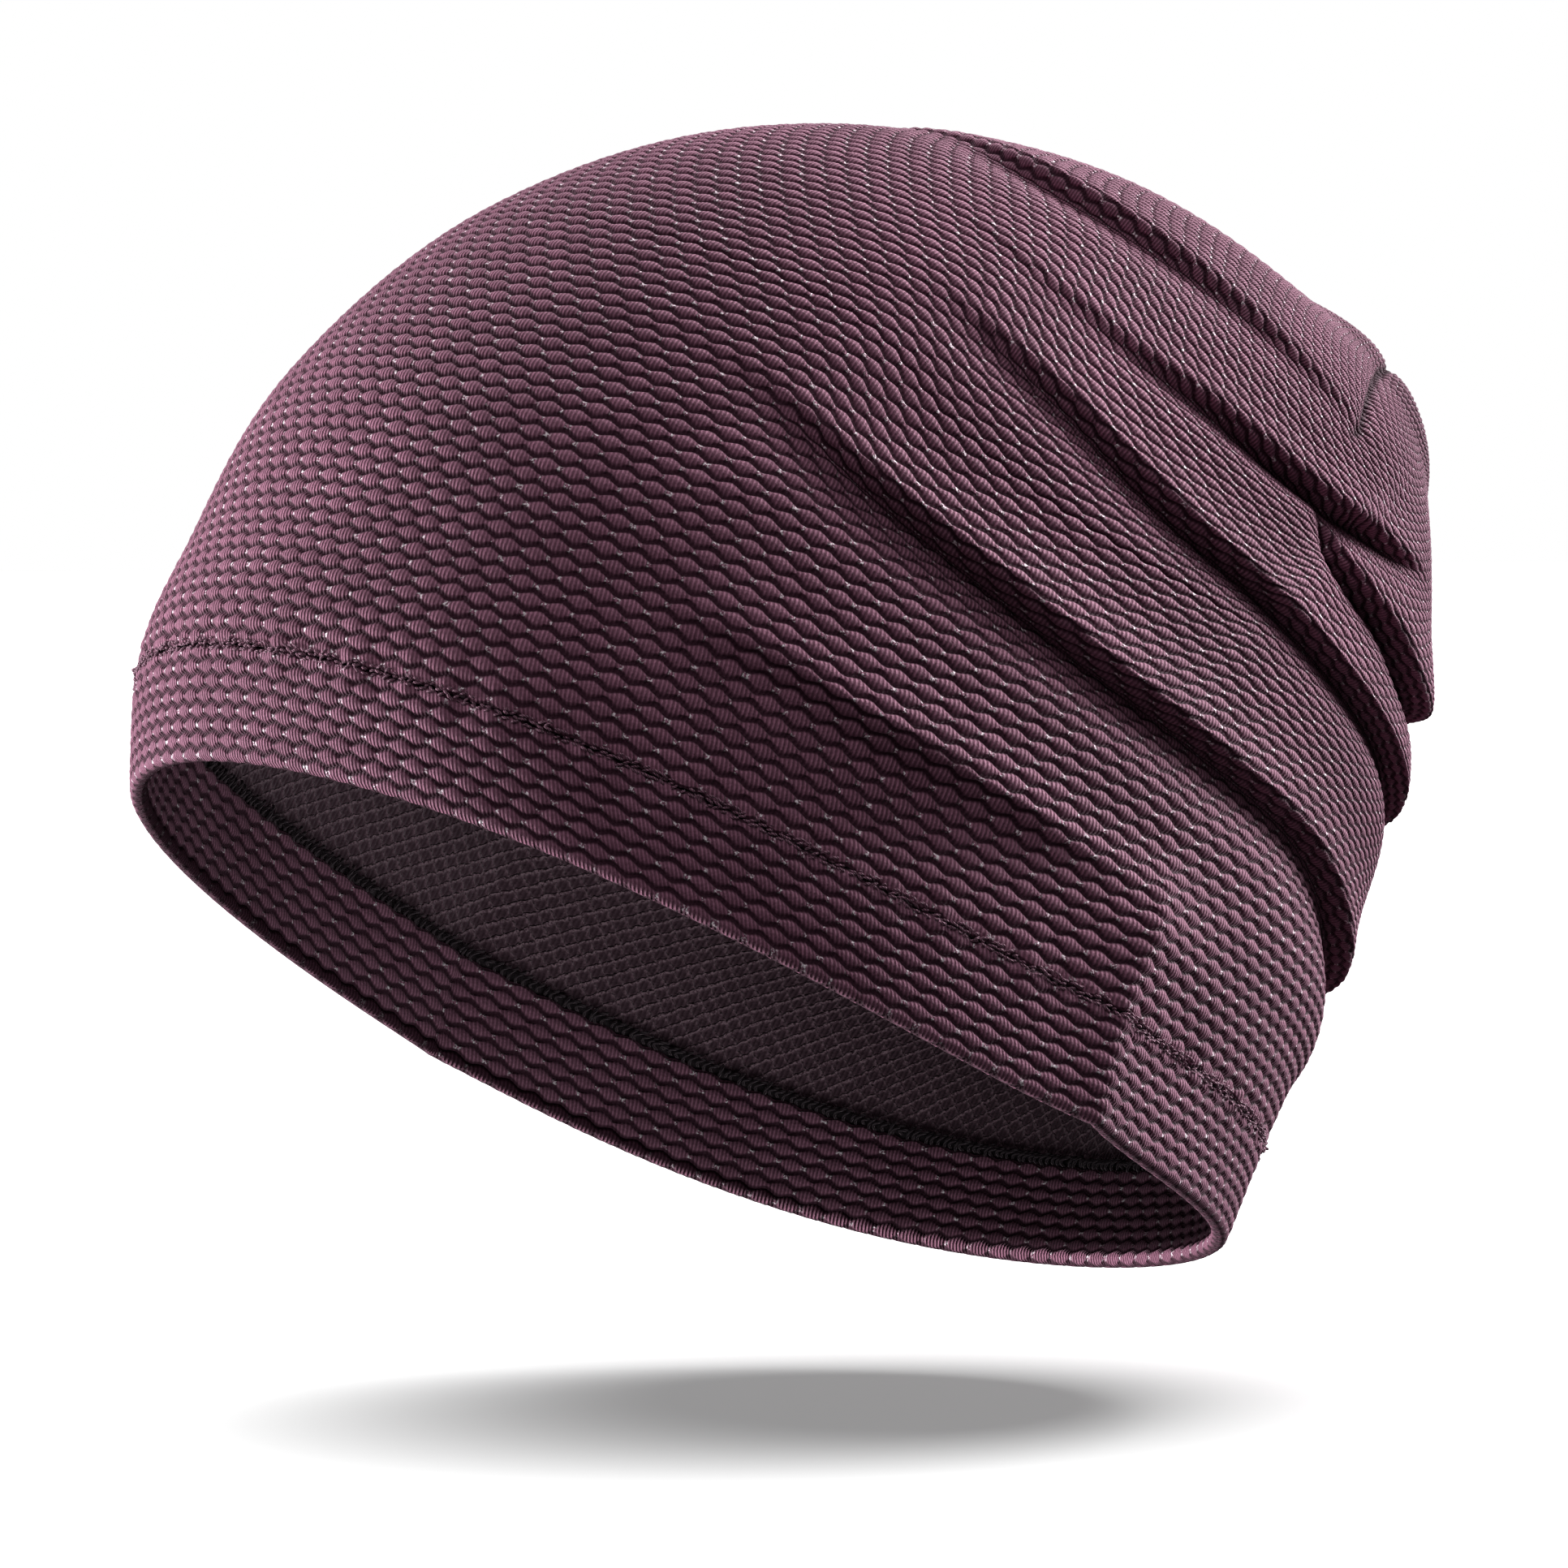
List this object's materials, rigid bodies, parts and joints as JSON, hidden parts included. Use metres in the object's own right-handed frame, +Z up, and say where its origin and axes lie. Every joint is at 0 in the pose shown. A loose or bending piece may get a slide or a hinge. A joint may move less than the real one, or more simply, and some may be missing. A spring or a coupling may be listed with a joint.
{
  "type": "running cap",
  "caption": "Slouch running cap in stretch waffle knit with a turned hem, gathered folds at the back and an overlocked inner edge, in its worn shape.",
  "frame": {"origin": "the point under the crown where the top of the head touches the cap, on the crown's inner face", "axes": "+Z up in the worn pose, -Y the way the wearer faces, +X the wearer's left; the rim slopes down from the forehead to the nape by about 26 degrees"},
  "size_m": [0.1614, 0.222, 0.1843],
  "materials": {
    "crown_knit": "matt waffle knit with a soft sheen",
    "hem_knit": "matt waffle knit, doubled",
    "overlock_thread": "fuzzy matt thread",
    "topstitch_thread": "fine thread with a slight sheen"
  },
  "bodies": {
    "root": {"crown": "crown_knit", "hem_band": "hem_knit", "hem_overlock": "overlock_thread", "hem_topstitch": "topstitch_thread"}
  },
  "joints": []
}
